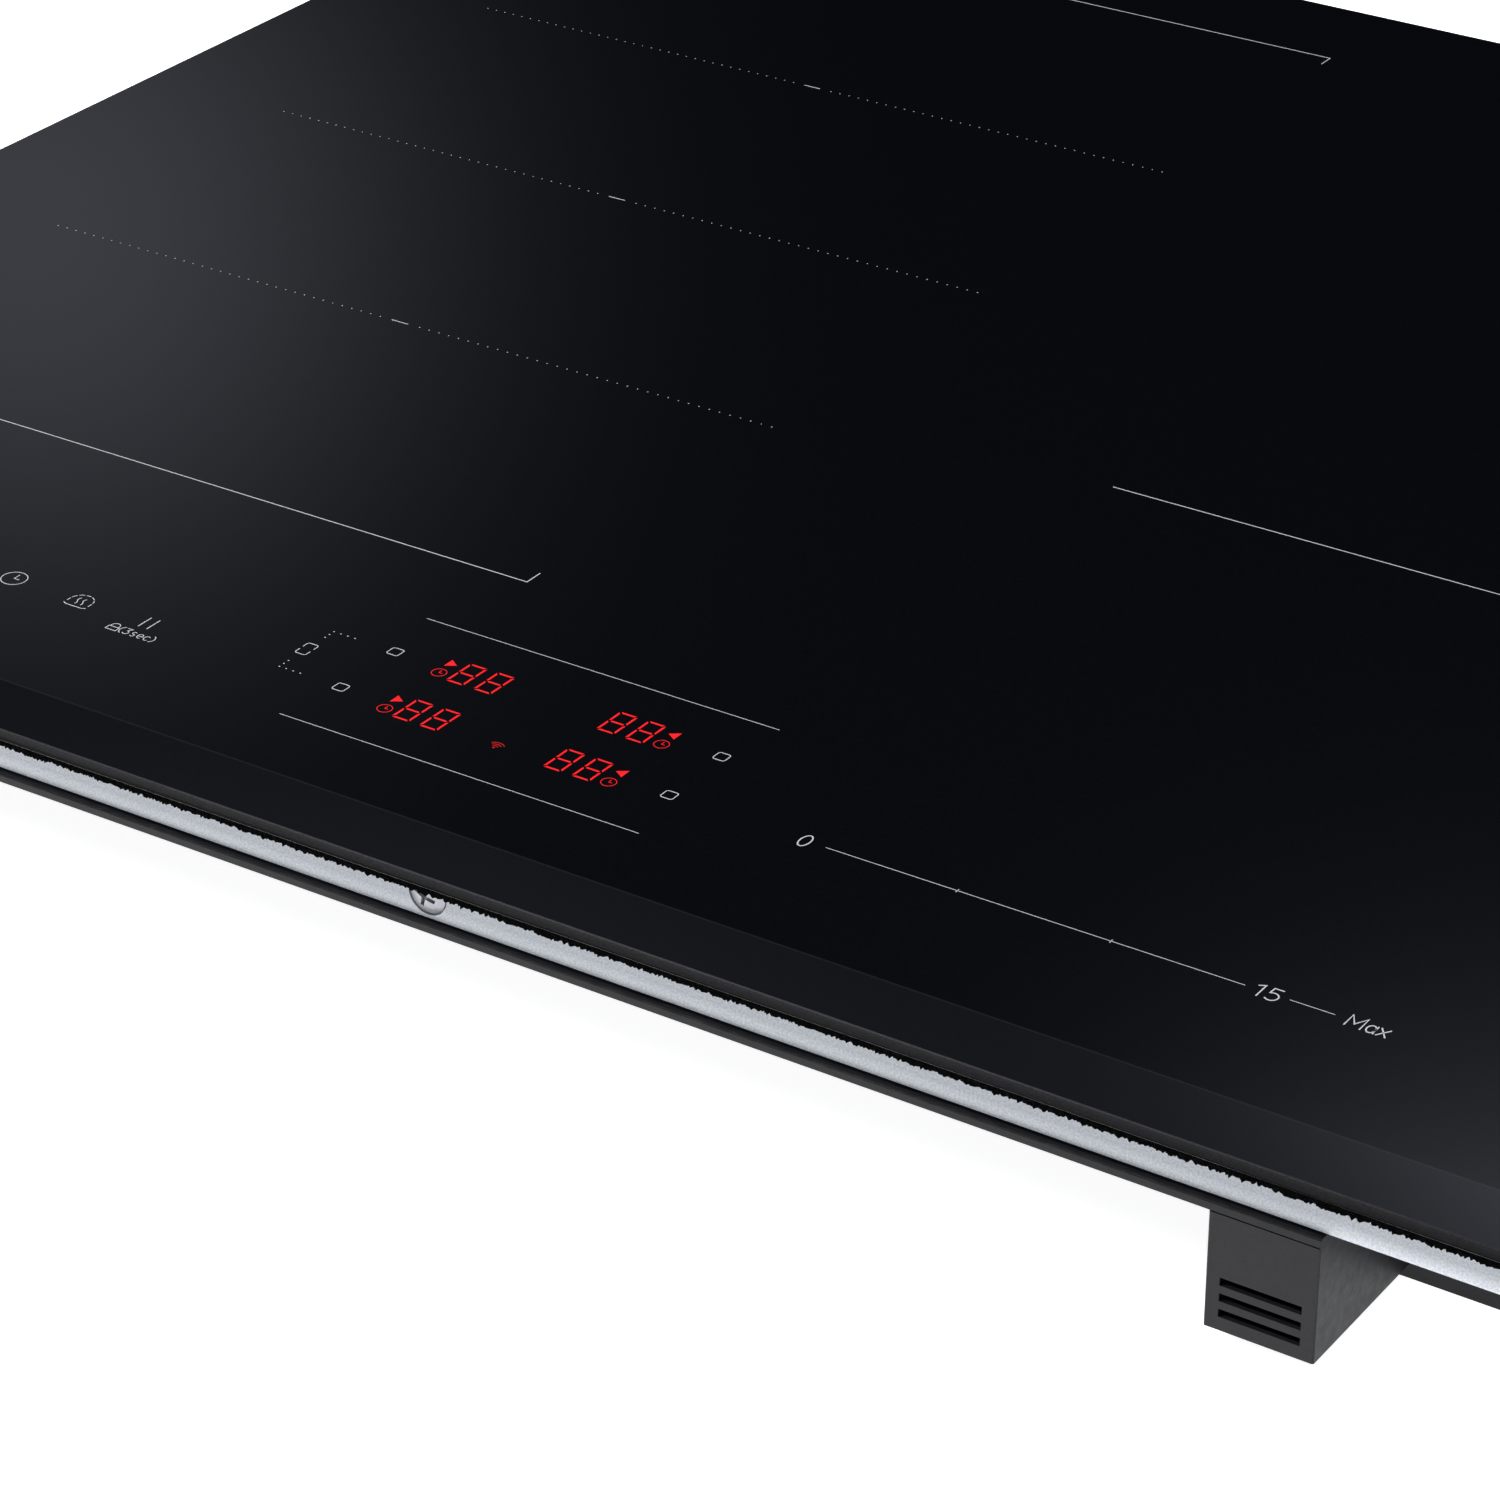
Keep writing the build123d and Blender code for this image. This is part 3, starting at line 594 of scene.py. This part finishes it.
def digit(marks, x, y):
    """Seven-bar figure eight with mitred bars."""
    width, height, slant = 4.55, 8.75, 0.012
    bar, gap = 0.50, 0.36
    half = bar / 2
    middle = height / 2
    top = [(gap, 0), (width - gap, 0), (width - gap - bar, -bar), (gap + bar, -bar)]
    centre = [
        (half + gap, 0), (bar + gap, -half), (width - bar - gap, -half),
        (width - half - gap, 0), (width - bar - gap, half), (bar + gap, half),
    ]
    # side bar from the centre outwards: bevelled foot, mitred head
    post = [(half * 0.2, half), (half, gap), (bar, half + gap), (bar, middle - bar - gap), (0, middle - gap)]
    shapes = [[(px, height + py) for px, py in top][::-1], [(px, -py) for px, py in top]]
    shapes.append([(px, middle + py) for px, py in centre])
    for up in (1, -1):
        side = [(px, middle + up * py) for px, py in post]
        other = [(width - px, py) for px, py in side]
        shapes.append(side if up > 0 else side[::-1])
        shapes.append(other[::-1] if up > 0 else other)
    for shape in shapes:
        marks.add([(x + px + slant * py, y + py) for px, py in shape])


def red_displays():
    """Digit pair, timer ring and pointer of each zone."""
    for side, x in GROUP_X.items():
        sign = -1 if side == "left" else 1
        for row, y in GROUP_Y.items():
            marks = Marks()
            digit(marks, x, y)
            digit(marks, x + DIGIT_PITCH, y)
            clock_x, clock_y = sign * 28.2, y + 1.95
            marks.loop(arc(clock_x, clock_y, 1.65, 0, 345, 24), 0.15)
            marks.stroke([(clock_x + 0.8, clock_y), (clock_x, clock_y), (clock_x, clock_y + 1.05)], 0.15)
            near, far = sign * 26.9, sign * 29.15
            tip = [(near, y + 6.45), (far, y + 8.0), (far, y + 5.0)]
            marks.add(tip if sign < 0 else tip[::-1])
            marks.piece(f"display_digits_{side}_{row}", RED)


def network_light():
    """Dim fan-shaped light between the digit groups."""
    marks = Marks()
    x, y = 0.4, 32.7
    marks.dot(x, y + 0.1, 0.28)
    for radius in (0.9, 1.6, 2.3):
        marks.stroke(arc(x, y, radius, 45, 135, 9), 0.2)
    marks.piece("network_light", DIM_RED)


# ---------------------------------------------------------------- cut foam edge

FOAM_WIDTH, FOAM_CORNER, FOAM_STEP = 9.5 * MM, 7 * MM, 0.38 * MM
# Depth of the torn surface in millimetres, and the scales of its noise
TORN_FINE, TORN_COARSE = 0.42, 0.12
FINE_SCALE, COARSE_SCALE = 1500, 400
CORNER_STEPS = 10


def foam_strip():
    """Foam seal with a torn cell surface, in the place of the plain CAD ring."""
    low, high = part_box("edge_foam")
    width, corner, step = FOAM_WIDTH, FOAM_CORNER, FOAM_STEP
    half_x, half_y = high.x, high.y
    straight_x, straight_y = half_x - corner, half_y - corner
    path = []
    # each quarter: the corner's signs, its first angle, and where the side after it ends
    quarters = (
        (1, 1, 0, (-straight_x, half_y)),
        (-1, 1, 90, (-half_x, -straight_y)),
        (-1, -1, 180, (straight_x, -half_y)),
        (1, -1, 270, (half_x, straight_y)),
    )
    for sx, sy, start, end in quarters:
        for i in range(CORNER_STEPS + 1):
            a = math.radians(start + 90 * i / CORNER_STEPS)
            normal = Vector((math.cos(a), math.sin(a)))
            path.append((Vector((sx * straight_x, sy * straight_y)) + corner * normal, normal))
        begin, normal = path[-1]
        steps = int((Vector(end) - begin).length / step)
        for i in range(1, steps):
            path.append((begin.lerp(Vector(end), i / steps), normal))
    # section, as (across, down): outer face, underside, back
    face_steps, under_steps, back_steps = 7, 6, 2
    section = [(0.0, i / face_steps) for i in range(face_steps + 1)]
    section += [(i / under_steps, 1.0) for i in range(1, under_steps + 1)]
    section += [(1.0, 1 - i / back_steps) for i in range(1, back_steps + 1)]
    depth = high.z - low.z
    verts = []
    for centre, normal in path:
        for across, down in section:
            flat = centre - normal * (width * across)
            z = high.z - depth * down
            point = Vector((flat.x, flat.y, z))
            fine = noise.fractal(point * FINE_SCALE, 0.7, 2.0, 4)
            coarse = noise.noise(point * COARSE_SCALE)
            push = (TORN_FINE * fine + TORN_COARSE * coarse) * MM
            if down > 0:
                point.z -= push * down
            if across < 1:
                # the edge next to the glass stays almost straight
                outward = push * min(1.0, 3 * down + 0.2)
                point.x += normal.x * outward
                point.y += normal.y * outward
            verts.append(point)
    count, ring = len(path), len(section)
    faces = []
    for i in range(count):
        j = (i + 1) % count
        for k in range(ring):
            m = (k + 1) % ring
            faces.append((i * ring + k, i * ring + m, j * ring + m, j * ring + k))
    mesh = bpy.data.meshes.new("foam_seal")
    mesh.from_pydata(verts, [], faces)
    mesh.materials.append(FINISHES["edge_foam"])
    mesh.shade_smooth()
    obj = bpy.data.objects.new("foam_seal", mesh)
    bpy.context.scene.collection.objects.link(obj)
    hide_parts("edge_foam")
    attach(obj, BODY)


# ---------------------------------------------------------------- studio

def studio_floor():
    """Pale floor lit like a light table, so shadows on it stay faint."""
    half = 9.0
    mesh = bpy.data.meshes.new("studio_floor")
    corners = [(-half, -half, 0), (half, -half, 0), (half, half, 0), (-half, half, 0)]
    mesh.from_pydata(corners, [], [(0, 1, 2, 3)])
    s = Shader("floor_pale", specular=0.0)
    mottle = s.noise(0.4)
    s.colour(s.ramp(mottle, [(0.3, (0.84, 0.84, 0.84)), (0.7, (0.88, 0.88, 0.88))]))
    s.rough(s.spread(mottle, 0.9, 1.0))
    s.bsdf.inputs["Emission Color"].default_value = (1, 1, 1, 1)
    s.bsdf.inputs["Emission Strength"].default_value = 0.92
    mesh.materials.append(s.mat)
    floor = bpy.data.objects.new("studio_floor", mesh)
    bpy.context.scene.collection.objects.link(floor)


def direction(left, up):
    """Unit vector, degrees to the left of +Y and above the horizon."""
    a, e = math.radians(left), math.radians(up)
    return (-math.sin(a) * math.cos(e), math.cos(a) * math.cos(e), math.sin(e))


# Soft patches of light round the room: (left, up, spread in degrees, strength)
GLOWS = (
    (42.2, 23.3, 3.9, 0.33),
    (21.9, 38.8, 4.4, 1.63),
    (55.6, 55.3, 10.0, 5.0),
    (-120.0, 50.0, 30.0, 0.35),
    (150.0, 40.0, 28.0, 0.35),
)
# The bright horizon fades out between these angles above it, in degrees
HORIZON_FADE, HORIZON_TOP = 3.0, 13.0


PATCH_TINT = (0.93, 0.955, 1.1, 1)
HORIZON_TINT = (0.97, 0.98, 1.0, 1)


def studio_world():
    """Bright horizon, dark dome, and a few soft patches that the glass can mirror."""
    world = bpy.data.worlds.new("studio")
    bpy.context.scene.world = world
    world.use_nodes = True
    tree = world.node_tree
    back = tree.nodes["Background"]
    coords = tree.nodes.new("ShaderNodeTexCoord").outputs["Generated"]

    def calc(kind, a, b=None):
        made = tree.nodes.new("ShaderNodeMath")
        made.operation = kind
        for socket, value in zip(made.inputs, (a, b)):
            if isinstance(value, (int, float)):
                socket.default_value = value
            elif value is not None:
                tree.links.new(value, socket)
        return made.outputs[0]

    parts = tree.nodes.new("ShaderNodeSeparateXYZ")
    tree.links.new(coords, parts.inputs["Vector"])
    fade = tree.nodes.new("ShaderNodeMapRange")
    fade.interpolation_type = "SMOOTHERSTEP"
    fade.inputs["From Min"].default_value = math.sin(math.radians(HORIZON_FADE))
    fade.inputs["From Max"].default_value = math.sin(math.radians(HORIZON_TOP))
    fade.inputs["To Min"].default_value = 1.0
    fade.inputs["To Max"].default_value = 0.0
    tree.links.new(parts.outputs["Z"], fade.inputs["Value"])
    horizon = fade.outputs["Result"]
    total = horizon
    for left, up, spread, strength in GLOWS:
        dot = tree.nodes.new("ShaderNodeVectorMath")
        dot.operation = "DOT_PRODUCT"
        tree.links.new(coords, dot.inputs[0])
        dot.inputs[1].default_value = direction(left, up)
        # exp(-(1 - cos) / (1 - cos spread)) is a round soft patch
        width = 1 - math.cos(math.radians(spread))
        falloff = calc("EXPONENT", calc("DIVIDE", calc("SUBTRACT", dot.outputs["Value"], 1.0), width))
        total = calc("ADD", total, calc("MULTIPLY", falloff, strength))
    tree.links.new(total, back.inputs["Strength"])
    tint = tree.nodes.new("ShaderNodeMix")
    tint.data_type = "RGBA"
    tree.links.new(horizon, tint.inputs["Factor"])
    tint.inputs["A"].default_value = PATCH_TINT
    tint.inputs["B"].default_value = HORIZON_TINT
    tree.links.new(tint.outputs["Result"], back.inputs["Color"])


def softbox(name, place, target, size, power):
    """Rectangular area light, aimed at a point."""
    light = bpy.data.lights.new(name, "AREA")
    light.shape = "RECTANGLE"
    light.size, light.size_y = size
    light.energy = power
    obj = bpy.data.objects.new(name, light)
    bpy.context.scene.collection.objects.link(obj)
    obj.location = place
    obj.rotation_euler = (Vector(target) - Vector(place)).to_track_quat("-Z", "Y").to_euler()


# Camera: degrees from +Y and below the horizon, millimetres, and its place in metres
HEADING, PITCH = 33.437, 28.987
LENS, SENSOR = 121.586, 36.0
CAMERA_X, CAMERA_BACK, CAMERA_RISE = 0.5419, 0.6924, 0.5000


def camera():
    data = bpy.data.cameras.new("view")
    data.lens, data.sensor_width = LENS, SENSOR
    data.clip_start = 0.01
    obj = bpy.data.objects.new("view", data)
    bpy.context.scene.collection.objects.link(obj)
    obj.location = (CAMERA_X, BEVEL_LINE - CAMERA_BACK, TOP + CAMERA_RISE)
    obj.rotation_euler = (math.radians(90 - PITCH), 0, math.radians(HEADING))
    bpy.context.scene.camera = obj


finish_cad_nodes()
zone_print()
selector_print()
slider_print()
function_print()
red_displays()
network_light()
foam_strip()
studio_floor()
studio_world()
softbox("key_front_left", place=(-1.8, -1.8, 2.7), target=(0, 0, 0), size=(1.8, 1.2), power=140)
camera()
bpy.context.scene.view_settings.view_transform = "Standard"
